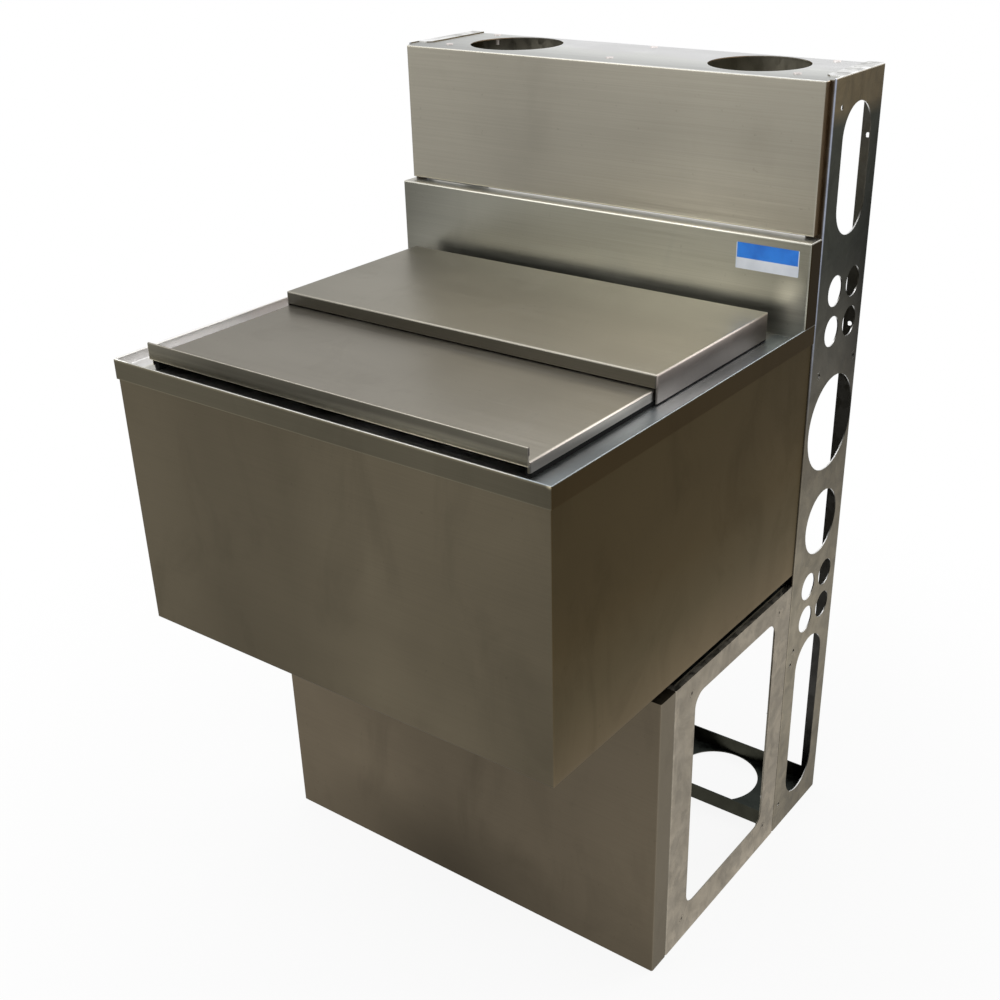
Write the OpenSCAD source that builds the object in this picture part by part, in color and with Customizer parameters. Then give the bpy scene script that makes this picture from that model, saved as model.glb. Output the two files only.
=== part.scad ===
// Underbar ice bin hung on a perforated utility wall, with a set-back pedestal base.
// Millimetres. X runs to the right, Y from the front to the back, Z up from the floor.
// The origin is the centre of the footprint on the floor.

/* [Overall] */
// Width of the module
width = 610; // [560:5:760]
// Height of the bin's raised edge above the floor
rim_h = 762; // [740:1:820]
// Height of the utility wall
wall_h = 1040; // [1010:5:1200]
// Depth from the front of the bin to the utility wall
bin_depth = 541; // [520:1:620]
// Depth of the utility wall
wall_depth = 136; // [134:1:200]

/* [Sheet] */
// Thickness of the stainless sheet
t = 1.2; // [1:0.1:1.6]
// Thickness of the galvanised sheet
tg = 1.5; // [1.2:0.1:2]
// Inner radius of the sheet's bends
bend_r = 1.2; // [0.6:0.1:2]

/* [Bin] */
// Height of the bin's body, from its bottom to the raised edge
bin_h = 341; // [300:1:345]
// Height of the apron round the bin's top
apron_h = 24; // [18:1:40]
// Distance that the apron stands outside the body
apron_out = 2; // [1.6:0.1:4]
// Width of the folded raised edge
hem_w = 2.8; // [2.8:0.1:5]
// Drop from the raised edge to the ledge that carries the covers
ledge_drop = 12; // [8:1:18]
// Width of the ledge at the left and right
ledge_side = 55; // [50:1:80]
// Width of the ledge at the front
ledge_front = 45; // [35:1:70]
// Length of the well, front to back
well_l = 435; // [380:1:436]
// Height of the space under the well, for insulation and drain
floor_space = 39; // [34:1:60]
// Radius of the well's coved corners
well_r = 15; // [8:1:30]
// Width of the body's inner flanges at the bottom
body_lip = 25; // [20:1:30]
// Width of the body's inner flanges at the back
back_lip = 35; // [32:1:45]
// Thickness of the insulation at the walls
foam_t = 20; // [15:1:25]

/* [Backsplash] */
// Height of the backsplash above the raised edge
splash_h = 102; // [80:1:120]
// Depth of the backsplash, from its face to the utility wall
splash_d = 26; // [20:1:40]
// Width of the blank tag
tag_w = 81; // [60:1:100]
// Height of the blank tag
tag_h = 31; // [20:1:40]
// Thickness of the blank tag
tag_t = 0.4; // [0.2:0.1:1]
// Distance from the tag to the backsplash's right end
tag_side = 14.5; // [10:0.5:30]
// Distance from the tag to the backsplash's top
tag_drop = 10.5; // [8:0.5:20]

/* [Covers] */
// Distance that the front cover reaches past the well at each side
cover_lap = 14.5; // [10:0.5:25]
// Depth of the front cover, without its lip
front_d = 241; // [200:1:250]
// Distance from the bin's front to the front cover's lip
front_y = 20; // [12:1:25]
// Height of the front cover's top above the ledge
front_z = 17.5; // [14:0.5:20]
// Height of the lip above the front cover's top
lip_rise = 15.5; // [10:0.5:20]
// Distance that the lip reaches below the front cover's top
lip_low = 5; // [4.5:0.5:8]
// Length of the lip's folded edge
lip_hem = 9; // [5:0.5:12]
// Height of the front cover's side flanges
front_flange = 12; // [9:0.5:13]
// Width of the glides under the front cover's flanges
glide_w = 7; // [5:0.5:10]
// Height that the glides reach up behind the flanges
glide_tongue = 8; // [5:0.5:9]
// Depth of the rear cover
rear_d = 249; // [230:1:255]
// Height of the rear cover's top above the ledge
rear_z = 34.4; // [33:0.1:40]
// Height of the rear cover's front and back flanges
rear_flange = 15.2; // [8:0.1:15.4]
// Height of the glides under the rear cover's flanges
rear_glide_h = 1.7; // [1.2:0.1:3]
// Distance from the rear cover to the backsplash
rear_gap = 24; // [15:1:30]
// Clearance between the covers at each side
slide_clear = 2.2; // [1:0.1:4]
// Height that a cover rides above the ledge
rest_clear = 0.3; // [0.2:0.1:0.5]

/* [Upper panel] */
// Height of the gap between the backsplash and the upper panel
panel_gap = 3; // [1:0.5:6]
// Distance that the upper panel stands in front of the utility wall
panel_out = 11; // [8:1:16]
// Distance from the upper panel's side to the wall's side
panel_inset = 5.5; // [4:0.5:12]
// Height of the flange at the back of the top
cap_flange = 25; // [18:1:40]

/* [Utility wall] */
// Width of the side plates' inner flanges
plate_flange = 21.5; // [20:0.5:30]
// Distance from the wall's front to the middle of the round and slotted holes
hole_y = 71; // [69:0.5:73]
// Diameter of the round holes in the top and bottom
duct_d = 122; // [80:1:122]
// Distance between the two round holes
duct_pitch = 354; // [300:1:360]
// Distance from the wall's front to the round holes in the top and bottom
duct_y = 69; // [67:0.5:69]
// Width of the slotted holes
slot_w = 78; // [50:1:90]
// Length of the upper slotted hole
slot_top_l = 153; // [100:1:153]
// Distance from the upper slotted hole to the wall's top
slot_top_drop = 33; // [33:1:45]
// Length of the lower slotted hole
slot_low_l = 260; // [150:1:262]
// Height of the lower slotted hole's end above the floor
slot_low_z = 35; // [33:1:45]
// Diameter of the large round hole
big_d = 126; // [90:1:126]
// Height of the large round hole
big_z = 613; // [605:1:620]
// Diameter of the medium round hole
medium_d = 90; // [60:1:92]
// Height of the medium round hole
medium_z = 472; // [468:1:478]
// Diameter of the small round holes
small_d = 38; // [25:1:40]
// Distance from the wall's front to the middle of each group of small holes
small_y = 74.5; // [72:0.5:76]
// Distance between the small holes of a group
small_pitch = 50.5; // [44:0.5:52]
// Height of the upper group of small holes
small_high_z = 764.5; // [750:0.5:770]
// Height of the lower group of small holes
small_low_z = 358; // [356:0.5:364]
// Diameter of the pin holes near the top
pin_hole_d = 6; // [4:0.5:8]
// Height of the bottom tray
bottom_h = 26; // [22:0.5:29]
// Height of the rail behind the upper panel
top_rail_h = 60; // [40:1:90]
// Height of the rail behind the bin's top
mid_rail_h = 50; // [30:1:52]
// Depth of the rail behind the bin's top
mid_rail_d = 25; // [15:1:40]
// Distance from the wall's front to the side plates' top flanges and the front screws
top_lip_y = 19; // [16:0.5:22]
// Width of the rails' screw tabs
tab_w = 36; // [24:1:50]
// Length of the rails' screw tabs
tab_l = 30; // [26:1:40]

/* [Base] */
// Distance from the bin's front to the base's front
base_y = 210; // [180:1:240]
// Depth of the base's front panel
panel_d = 33; // [30:1:60]
// Height of the gap between the base and the bin
base_gap = 14; // [10:1:25]
// Width of the base's inner flanges
base_flange = 25; // [20:1:30]
// Distance from the base's side plate to the front of its opening
open_front = 48; // [44:1:70]
// Distance from the opening to the utility wall
open_back = 43; // [42:1:70]
// Height of the opening's lower edge
open_low = 47; // [46:1:70]
// Distance from the opening's upper edge to the base's top
open_drop = 32; // [30:1:60]
// Radius of the opening's corners
open_r = 20; // [10:1:40]
// Height of the base's cross rails
rail_h = 27; // [25:1:30]
// Depth of the base's cross rails
rail_d = 30; // [24:1:36]
// Distance from the front end of the base's side plate to its corner screws
screw_front = 38; // [36:0.5:42]
// Distance from the back end of the base's side plate to its corner screws
screw_back = 35; // [34:0.5:42]
// Distance from the base's top to its upper corner screws
screw_top = 23; // [19:0.5:24]
// Height of the base's lower corner screws
screw_low_z = 35; // [20:0.5:36]
// Width of the floor brackets
bracket_w = 30; // [20:1:36]
// Height of the floor brackets
bracket_h = 38; // [37:1:60]
// Reach of the floor brackets' feet
bracket_foot = 20.5; // [20.5:0.5:45]
// Thickness of the floor brackets
bracket_t = 3; // [2:0.1:5]
// Distance from the module's side to the floor anchors
anchor_in = 15; // [14:0.5:16]
// Distance from the module's side to the channels under the bin
support_in = 8; // [3:0.5:12]
// Distance from the channels under the bin to the base's ends
support_end = 10; // [5:1:30]

/* [Drain] */
// Distance from the well's front to the drain
drain_back = 300; // [280:1:330]
// Outside diameter of the drain tailpiece
tail_d = 33.4; // [25:0.1:40]
// Wall of the drain tailpiece
tail_wall = 3.4; // [2:0.1:4]
// Length of the tailpiece below the bin
tail_out = 36; // [25:1:50]
// Diameter of the drain's flange
drain_flange_d = 84; // [78:1:110]
// Thickness of the drain's flange
drain_flange_t = 2; // [1.5:0.1:3]
// Diameter of the strainer
strainer_d = 64; // [60:1:68]
// Depth of the seat that holds the strainer
strainer_seat = 5; // [4:0.5:8]
// Clearance round the strainer in its seat
seat_clear = 0.7; // [0.4:0.1:1.5]
// Diameter of the strainer's holes
strainer_hole_d = 5; // [3:0.5:6]

/* [Fasteners] */
// Diameter of the bolts between bin, base and wall
bolt_d = 8; // [6:1:8]
// Diameter of the small screws
screw_d = 5; // [4:0.5:5]
// Diameter of the floor anchor holes
anchor_d = 9; // [7:0.5:11]
// Clearance round a bolt or screw in its hole
bolt_clear = 0.3; // [0.2:0.1:0.6]
// Height of the screw heads on the top
head_h = 1.2; // [0.8:0.1:1.2]
// Length of the screws of the top
top_screw_l = 12; // [8:1:16]
// Distance from the module's side to the outer screws of the top
top_screw_side = 55; // [45:1:70]
// Distance from the module's back to the rear screws of the top
top_screw_rear = 13; // [11:0.5:14]
// Distance from the module's side to the bolts
bolt_inset = 13; // [12:0.5:14]
// Distance from the base's ends to its outer bolts
bolt_low = 60; // [50:1:90]
// Distance from the bin's ends to its outer bolts
bolt_high = 59; // [58:1:80]

/* [Hidden] */

// Facets of a full circle, and flat steps that round off one bend
$fn = 64;
bend_steps = 4;
cove_steps = 6;
eps = 0.01;
// Distance that a cut runs past the face that it opens
over = 1;

// Colours
steel = [0.56, 0.54, 0.49];
steel_dark = [0.36, 0.34, 0.29];
zinc = [0.5, 0.49, 0.45];
zinc_dark = [0.3, 0.3, 0.28];
black = [0.08, 0.08, 0.08];
brass = [0.72, 0.6, 0.32];
foam = [0.85, 0.8, 0.6];

// Planes of the module
half_w = width / 2;
depth = bin_depth + wall_depth;
y_front = -depth / 2;
y_back = depth / 2;
y_wall = y_front + bin_depth;
y_splash = y_wall - splash_d;
y_panel = y_wall - panel_out;
y_base = y_front + base_y;
y_base_side = y_base + panel_d;
bend_out = bend_r + t;
inside_x = half_w - tg - bend_r;

// Levels of the bin
z_ledge = rim_h - ledge_drop;
z_under = z_ledge - t;
z_bin = rim_h - bin_h;
z_pan = z_bin + t;
z_floor = z_bin + floor_space;
z_base = z_bin - base_gap;
z_splash = rim_h + splash_h;
z_cap = wall_h - tg;

// Body and well
body_x = half_w - apron_out;
body_y = y_front + apron_out;
well_x = half_w - ledge_side;
well_y0 = y_front + ledge_front;
well_y1 = well_y0 + well_l;
well_flange = 14;
seam_gap = 0.4;
hem_r = (hem_w - 2 * t) / 2;
tag_r = 1;

// Covers
front_x = well_x + cover_lap;
fy0 = y_front + front_y;
lip_d = 3.8;
fy1 = fy0 + lip_d - t + front_d;
z_front = z_ledge + front_z;
z_front_low = z_front - front_flange;
z_lip = z_front + lip_rise;
z_lip_low = z_front - lip_low;
lip_r = 0.2;
glide_in = 2;
rear_x = front_x + slide_clear + t;
ry1 = y_splash - rear_gap;
ry0 = ry1 - rear_d;
z_rear = z_ledge + rear_z;
z_rear_flange = z_rear - rear_flange;

// Drain
drain_y = well_y0 + drain_back;
barrel_wall = 2.6;
collar_wall = 2.2;
barrel_r = tail_d / 2 + barrel_wall;
tail_collar_r = tail_d / 2 + collar_wall;
seat_r = strainer_d / 2 + seat_clear;
cup_wall = 2;
cup_depth = 12;
barrel_l = 16;
gasket_t = 2;
gasket_in = 1;
nut_t = 7;
nut_in = 2;
strainer_t = 1.5;
well_hole_r = seat_r + cup_wall + bolt_clear;
drain_room = 2;
seat_shelf = 3;
notch_w = 8;
notch_d = 5;
knob_r = 2.5;
knob_top_r = 5;
knob_h = 8;
knob_top_h = 3;

// Fasteners
bolt_x = half_w - bolt_inset;
bolt_head_t = 5.3;
bolt_nut_t = 6.5;
bolt_hex_r = bolt_d * 0.8;
bolt_stick_out = 2;
screw_head_r = 4.5;
screw_head_t = 3;
screw_l = 8;
flush_r = 5;
insert_l = 9;
insert_lip = 0.8;
base_bolt_z = spaced(bolt_low, z_base - bolt_low);
bin_bolt_z = spaced(z_bin + bolt_high, z_ledge - bolt_high);
top_screw_x = [-half_w + top_screw_side, 0, half_w - top_screw_side];
top_screw_front = y_wall + top_lip_y;
top_screw_back = y_back - top_screw_rear;

// ---------- outlines ----------

// Three values from a to b, evenly spaced
function spaced(a, b) = [a, (a + b) / 2, b];

function left(v) = [-v[1], v[0]];
function unit(v) = v / norm(v);
function turn(a, b) = atan2(a[0] * b[1] - a[1] * b[0], a * b);
function spin(v, a) = [v[0] * cos(a) - v[1] * sin(a), v[0] * sin(a) + v[1] * cos(a)];
function back(v) = [for (i = [len(v) - 1:-1:0]) v[i]];
function pick(v, i) = is_list(v) ? v[i] : v;

// Points of an arc round c, from angle a0 to angle a1
function arc(c, r, a0, a1, n = bend_steps) =
  [for (i = [0:n]) c + spin([r, 0], a0 + (a1 - a0) * i / n)];

// A rounded rectangle between the corners a and b
function round_rect(a, b, r, n = bend_steps) = concat(
  arc([b[0] - r, b[1] - r], r, 0, 90, n),
  arc([a[0] + r, b[1] - r], r, 90, 180, n),
  arc([a[0] + r, a[1] + r], r, 180, 270, n),
  arc([b[0] - r, a[1] + r], r, 270, 360, n)
);

// One bend of a sheet: its face lies off to the left of the path, which turns from d0 to d1 at p
function bend(p, d0, d1, off, th, ri) =
  let (
    a = turn(d0, d1),
    s = sign(a),
    r0 = s > 0 ? ri + th : ri,
    c = p - d0 * r0 * tan(abs(a) / 2) + left(d0) * s * r0,
    v = left(d0) * -s * (r0 - s * off)
  )
  [for (k = [0:bend_steps]) c + spin(v, a * k / bend_steps)];

// One face of a folded sheet along a path
function fold_face(path, off, th, ri) = [
  for (i = [0:len(path) - 1])
    let (
      last = len(path) - 1,
      d0 = unit(i == 0 ? path[1] - path[0] : path[i] - path[i - 1]),
      d1 = unit(i == last ? path[i] - path[i - 1] : path[i + 1] - path[i])
    )
    each (i == 0 || i == last) ? [path[i] + left(d0) * off]
      : bend(path[i], d0, d1, off, th, pick(ri, i))
];

// The section of a folded sheet: the sheet lies to the left of the path
module folded(path, th, ri) {
  polygon(concat(fold_face(path, 0, th, ri), back(fold_face(path, th, th, ri))));
}

// ---------- solids ----------

module along_x(x0, x1) {
  translate([x0, 0, 0])
    rotate([90, 0, 90])
      linear_extrude(x1 - x0)
        children();
}

module along_y(y0, y1) {
  translate([0, y1, 0])
    rotate([90, 0, 0])
      linear_extrude(y1 - y0)
        children();
}

module along_z(z0, z1) {
  translate([0, 0, z0])
    linear_extrude(z1 - z0)
      children();
}

// A box between two corners
module block(a, b) {
  translate(a)
    cube(b - a);
}

// A box with all its edges rounded
module soft_block(a, b, r, n = bend_steps) {
  intersection() {
    along_z(a[2], b[2])
      polygon(round_rect([a[0], a[1]], [b[0], b[1]], r, n));
    along_y(a[1], b[1])
      polygon(round_rect([a[0], a[2]], [b[0], b[2]], r, n));
    along_x(a[0], b[0])
      polygon(round_rect([a[1], a[2]], [b[1], b[2]], r, n));
  }
}

// Cylinders along each axis, from one plane to another
module rod_x(x0, x1, y, z, r) {
  translate([x0, y, z])
    rotate([0, 90, 0])
      cylinder(r = r, h = x1 - x0);
}

module rod_y(y0, y1, x, z, r) {
  translate([x, y1, z])
    rotate([90, 0, 0])
      cylinder(r = r, h = y1 - y0);
}

module rod_z(z0, z1, x, y, r) {
  translate([x, y, z0])
    cylinder(r = r, h = z1 - z0);
}

// A hexagonal head or nut along Y
module hex_y(y0, y1, x, z, r) {
  translate([x, y1, z])
    rotate([90, 0, 0])
      cylinder(r = r, h = y1 - y0, $fn = 6);
}

module both_sides() {
  children();
  mirror([1, 0, 0])
    children();
}

// ---------- bin ----------

// Front and sides of the bin, with inner flanges at the bottom and the back
module bin_shell() {
  inner_x = body_x - t;
  color(steel)
    difference() {
      intersection() {
        soft_block([-body_x, body_y, z_bin], [body_x, y_wall + bend_out, rim_h], bend_out);
        block([-half_w, y_front, z_bin], [half_w, y_wall, z_under]);
      }
      block([-inner_x, body_y + t, z_pan], [inner_x, y_wall - t, rim_h]);
      block(
        [-body_x + body_lip, body_y + body_lip, z_bin - over],
        [body_x - body_lip, y_wall - body_lip, rim_h]
      );
      block([-body_x + back_lip, body_y + t, z_bin + body_lip], [body_x - back_lip, y_wall + over, rim_h]);
      for (z = bin_bolt_z)
        both_sides()
          rod_y(y_wall - 2 * t, y_wall + over, bolt_x, z, bolt_d / 2 + bolt_clear);
    }
}

// Floor of the bin's body, laid on the bottom flanges
module bin_bottom_pan() {
  pan_x = body_x - t;
  color(zinc)
    difference() {
      block([-pan_x, body_y + t, z_pan], [pan_x, y_wall - t, z_pan + t]);
      rod_z(z_bin, z_pan + 2 * t, 0, drain_y, tail_collar_r + drain_room);
    }
}

// Closing sheet at the back of the bin's body
module bin_back_panel() {
  panel_x = bolt_x - bolt_hex_r - bolt_stick_out;
  color(zinc)
    block([-panel_x, y_wall - 2 * t, z_pan + t], [panel_x, y_wall - t, z_under]);
}

// Insulation: one board under the well and one at each wall
module insulation_boards() {
  x1 = body_x - t;
  y0 = body_y + t;
  y1 = y_wall - 2 * t;
  z0 = z_pan + t;
  z1 = z_floor - t;
  z2 = z_under - t;
  side_y1 = y1 - bolt_nut_t - t;
  color(foam) {
    difference() {
      block([-x1, y0, z0], [x1, side_y1, z1]);
      rod_z(z_bin, z_floor, 0, drain_y, drain_flange_d / 2 + drain_room);
    }
    both_sides()
      block([x1 - foam_t, y0, z1], [x1, side_y1, z2]);
    block([-x1 + foam_t, y0, z1], [x1 - foam_t, y0 + foam_t, z2]);
    block([-x1 + foam_t, y1 - foam_t, z1], [x1 - foam_t, y1, z2]);
  }
}

// The well that holds the ice, with coved corners and a flange under the ledge
module ice_liner() {
  top = z_under;
  color(steel)
    difference() {
      union() {
        intersection() {
          soft_block(
            [-well_x - t, well_y0 - t, z_floor - t], [well_x + t, well_y1 + t, top + well_r + t],
            well_r + t, cove_steps
          );
          block([-half_w, y_front, z_bin], [half_w, y_back, top]);
        }
        block(
          [-well_x - well_flange, well_y0 - well_flange, top - t],
          [well_x + well_flange, well_y1 + well_flange, top]
        );
      }
      soft_block([-well_x, well_y0, z_floor], [well_x, well_y1, top + well_r], well_r, cove_steps);
      rod_z(z_floor - 2 * t, z_floor + over, 0, drain_y, well_hole_r);
    }
}

// Section of the rim: ledge, raised folded edge and apron; u runs inwards from the apron
module rim_section(ledge) {
  folded(
    [[ledge, z_ledge], [hem_w, z_ledge], [hem_w, rim_h], [0, rim_h], [0, rim_h - apron_h]],
    t, [0, bend_r, hem_r, hem_r, 0]
  );
}

// Rim round the bin's top, mitred at the front corners
module rim_frame() {
  corner = max(ledge_side, ledge_front);
  color(steel)
    intersection() {
      union() {
        intersection() {
          translate([0, y_front, 0])
            along_x(-half_w, half_w)
              rim_section(ledge_front);
          along_z(rim_h - apron_h - over, rim_h + over)
            polygon([
              [-half_w, y_front], [half_w, y_front], [half_w - corner, y_front + corner],
              [-half_w + corner, y_front + corner]
            ]);
        }
        both_sides()
          intersection() {
            translate([half_w, 0, 0])
              mirror([1, 0, 0])
                along_y(y_front, y_wall)
                  rim_section(ledge_side);
            along_z(rim_h - apron_h - over, rim_h + over)
              polygon([
                [half_w, y_front], [half_w, y_wall], [half_w - corner, y_wall],
                [half_w - corner, y_front + corner]
              ]);
          }
        block([-well_x - t, well_y1, z_under], [well_x + t, y_wall, z_ledge]);
      }
      along_z(rim_h - apron_h - over, rim_h + over)
        polygon(round_rect([-half_w, y_front], [half_w, y_wall + 2 * bend_out], bend_out));
    }
}

// Backsplash: a shallow box between the rim and the utility wall
module backsplash() {
  foot_x = half_w - hem_w;
  color(steel) {
    difference() {
      intersection() {
        soft_block([-half_w, y_splash, z_ledge], [half_w, y_wall + bend_out, z_splash], bend_out);
        block([-half_w, y_splash, rim_h], [half_w, y_wall, z_splash]);
      }
      block([-half_w + t, y_splash + t, z_ledge], [half_w - t, y_wall + over, z_splash - t]);
    }
    block([-foot_x, y_splash, z_ledge], [foot_x, y_splash + t, rim_h]);
  }
}

// Blank tag on the backsplash
module blank_tag() {
  x1 = half_w - tag_side;
  z1 = z_splash - tag_drop;
  color([0.1, 0.4, 0.8])
    along_y(y_splash - tag_t, y_splash)
      polygon(round_rect([x1 - tag_w, z1 - tag_h], [x1, z1], tag_r));
}

// ---------- drain ----------

// Drain cup: flange on the well's floor, a seat for the strainer and a threaded barrel
module drain_cup() {
  z0 = z_floor;
  zc = z0 - cup_depth;
  color(steel)
    translate([0, drain_y, 0])
      difference() {
        union() {
          rod_z(z0, z0 + drain_flange_t, 0, 0, drain_flange_d / 2);
          rod_z(zc, z0 + eps, 0, 0, seat_r + cup_wall);
          rod_z(zc - barrel_l, zc + eps, 0, 0, barrel_r);
        }
        rod_z(z0 + drain_flange_t - strainer_seat, z0 + 2 * drain_flange_t, 0, 0, seat_r);
        rod_z(zc + cup_wall, z0 + drain_flange_t, 0, 0, seat_r - seat_shelf);
        rod_z(zc - barrel_l - over, z0, 0, 0, tail_d / 2 - tail_wall);
      }
}

// Gasket under the well's floor, round the cup
module drain_gasket() {
  z1 = z_floor - t;
  color(black)
    translate([0, drain_y, 0])
      difference() {
        rod_z(z1 - gasket_t, z1, 0, 0, drain_flange_d / 2 - gasket_in);
        rod_z(z1 - gasket_t - over, z1 + over, 0, 0, well_hole_r);
      }
}

// Locknut that pulls the cup down on its gasket
module drain_locknut() {
  z1 = z_floor - t - gasket_t;
  color(brass)
    translate([0, drain_y, 0])
      difference() {
        rod_z(z1 - nut_t, z1, 0, 0, drain_flange_d / 2 - nut_in);
        rod_z(z1 - nut_t - over, z1 + over, 0, 0, well_hole_r);
        for (a = [0:60:300])
          rotate(a)
            block(
              [drain_flange_d / 2 - notch_d, -notch_w / 2, z1 - nut_t - over],
              [drain_flange_d / 2, notch_w / 2, z1 + over]
            );
      }
}

// Tailpiece that carries the melt water out below the bin
module drain_tailpiece() {
  z1 = z_floor - cup_depth - barrel_l;
  z0 = z_bin - tail_out;
  r = tail_d / 2;
  color(brass)
    translate([0, drain_y, 0])
      difference() {
        union() {
          rod_z(z0, z1, 0, 0, r);
          rod_z(z_bin, z1, 0, 0, tail_collar_r);
        }
        rod_z(z0 - over, z1 + over, 0, 0, r - tail_wall);
      }
}

// Lift-out strainer in the drain cup
module drain_strainer() {
  z0 = z_floor + drain_flange_t - strainer_seat + rest_clear;
  rings = [[6, 8.5], [12, 17], [18, 25]];
  color(steel)
    translate([0, drain_y, 0])
      difference() {
        union() {
          rod_z(z0, z0 + strainer_t, 0, 0, strainer_d / 2);
          rod_z(z0, z0 + strainer_t + knob_h, 0, 0, knob_r);
          rod_z(z0 + strainer_t + knob_h - knob_top_h, z0 + strainer_t + knob_h, 0, 0, knob_top_r);
        }
        for (ring = rings)
          for (i = [0:ring[0] - 1])
            rotate(i * 360 / ring[0])
              rod_z(z0 - over, z0 + strainer_t + over, ring[1], 0, strainer_hole_d / 2);
      }
}

// ---------- covers ----------

// Front cover: a shallow pan whose front edge is folded up into a handle lip
module front_cover() {
  y_pan = fy0 + lip_d - t;
  color(steel) {
    difference() {
      intersection() {
        soft_block(
          [-front_x, y_pan, z_front_low - bend_out], [front_x, fy1, z_front], bend_out
        );
        block([-front_x, y_pan, z_front_low], [front_x, fy1, z_front]);
      }
      block([-front_x + t, y_pan + t, z_ledge], [front_x - t, fy1 - t, z_front - t]);
      block(
        [-front_x + bend_out, y_pan - over, z_ledge], [front_x - bend_out, y_pan + bend_out, z_lip_low]
      );
    }
    along_x(-front_x, front_x)
      folded(
        [
          [fy0 + 2 * t + seam_gap, z_lip - lip_hem], [fy0 + 2 * t + seam_gap, z_lip], [fy0, z_lip],
          [fy0, z_lip_low], [fy0 + lip_d, z_lip_low], [fy0 + lip_d, z_front - bend_out]
        ],
        t, lip_r
      );
  }
}

// Glides under the side flanges of the front cover
module front_cover_glides() {
  y0 = fy0 + lip_d + glide_in;
  y1 = fy1 - t - glide_in;
  z0 = z_ledge + rest_clear;
  color(black)
    both_sides() {
      block([front_x - glide_w, y0, z0], [front_x, y1, z_front_low]);
      block([front_x - glide_w, y0, z0], [front_x - t, y1, z_front_low + glide_tongue]);
    }
}

// Rear cover: a deeper pan, open below its front flange so that the front cover slides in
module rear_cover() {
  z0 = z_ledge + rest_clear + rear_glide_h;
  color(steel)
    difference() {
      intersection() {
        soft_block([-rear_x, ry0, z0 - bend_out], [rear_x, ry1, z_rear], bend_out);
        block([-rear_x, ry0, z0], [rear_x, ry1, z_rear]);
      }
      block([-rear_x + t, ry0 + t, z_ledge], [rear_x - t, ry1 - t, z_rear - t]);
      block([-rear_x + t, ry0 - over, z_ledge], [rear_x - t, ry1 + over, z_rear_flange]);
    }
}

// Glides under the side flanges of the rear cover
module rear_cover_glides() {
  z0 = z_ledge + rest_clear;
  color(black)
    both_sides()
      block([rear_x - t, ry0 + bend_out, z0], [rear_x, ry1 - bend_out, z0 + rear_glide_h]);
}

// ---------- utility wall ----------

// Upper panel, bent back over the wall's top, with two round duct holes
module upper_panel() {
  x1 = half_w - panel_inset;
  top_x = half_w - tg;
  y1 = y_back - tg;
  z0 = z_splash + panel_gap;
  color(steel)
    difference() {
      union() {
        difference() {
          intersection() {
            soft_block([-x1, y_panel, z0], [x1, y_wall + bend_out, z_cap], bend_out);
            block([-x1, y_panel, z0], [x1, y_wall, z_cap]);
          }
          block([-x1 + t, y_panel + t, z0 + t], [x1 - t, y_wall + over, z_cap - t]);
        }
        block([-top_x, y_wall, z_cap - t], [top_x, y1, z_cap]);
        block([-inside_x, y1 - t, z_cap - cap_flange], [inside_x, y1, z_cap]);
      }
      both_sides()
        rod_z(z_cap - 2 * t, z_cap + over, duct_pitch / 2, y_wall + duct_y, duct_d / 2);
      for (x = top_screw_x)
        for (y = [top_screw_front, top_screw_back])
          rod_z(z_cap - 2 * t, z_cap + over, x, y, screw_d / 2 + bolt_clear);
    }
}

// Places of the flush threaded inserts in a side plate: distance from the wall's front, height
insert_places = [[24, 690], [124, 687], [19, 298], [13, 278], [13, 42]];
pin_y = 23;
pin_drop = 34;
back_pin_drops = [83, 316.5];

module small_group(z) {
  for (sy = [-1, 1])
    for (sz = [-1, 1])
      rod_x(
        half_w - 2 * tg, half_w + over, y_wall + small_y + sy * small_pitch / 2,
        z + sz * small_pitch / 2, small_d / 2
      );
}

// A slot with round ends in a side plate
module side_slot(z0, z1) {
  r = slot_w / 2;
  y = y_wall + hole_y;
  rod_x(half_w - 2 * tg, half_w + over, y, z0 + r, r);
  rod_x(half_w - 2 * tg, half_w + over, y, z1 - r, r);
  block([half_w - 2 * tg, y - r, z0 + r], [half_w + over, y + r, z1 - r]);
}

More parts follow.
